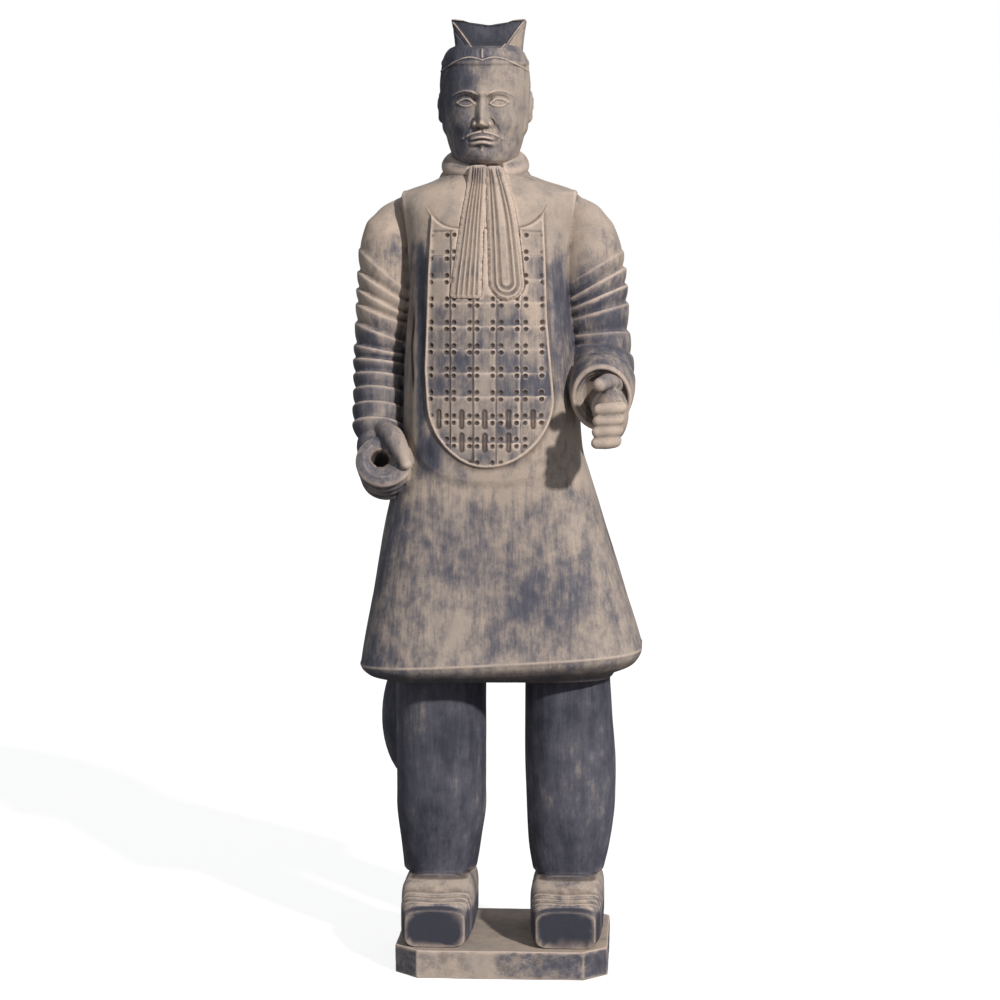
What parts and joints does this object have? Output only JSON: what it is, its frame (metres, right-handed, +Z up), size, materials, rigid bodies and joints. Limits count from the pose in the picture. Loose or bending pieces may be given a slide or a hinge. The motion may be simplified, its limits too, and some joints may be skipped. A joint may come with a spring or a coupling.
{
  "type": "terracotta warrior statue",
  "caption": "Life-size standing warrior figure of fired clay with a loose head, armour over a long robe, folded sleeves, a fist with an empty grip hole, on a chamfered slab.",
  "frame": {"origin": "centre of the plinth's underside", "axes": "+Z up along the figure, the figure faces -Y, +X towards its left hand"},
  "size_m": [0.5648, 0.4725, 1.8298],
  "materials": {
    "plinth_clay": "matt fired clay, sand-coloured wash with grey stains",
    "body_clay": "matt fired clay, pink-beige wash over slate-grey patina",
    "head_clay": "matt fired clay, pink-beige wash over slate-grey patina"
  },
  "bodies": {
    "root": {"plinth": "plinth_clay", "body": "body_clay", "head": "head_clay"}
  },
  "joints": []
}
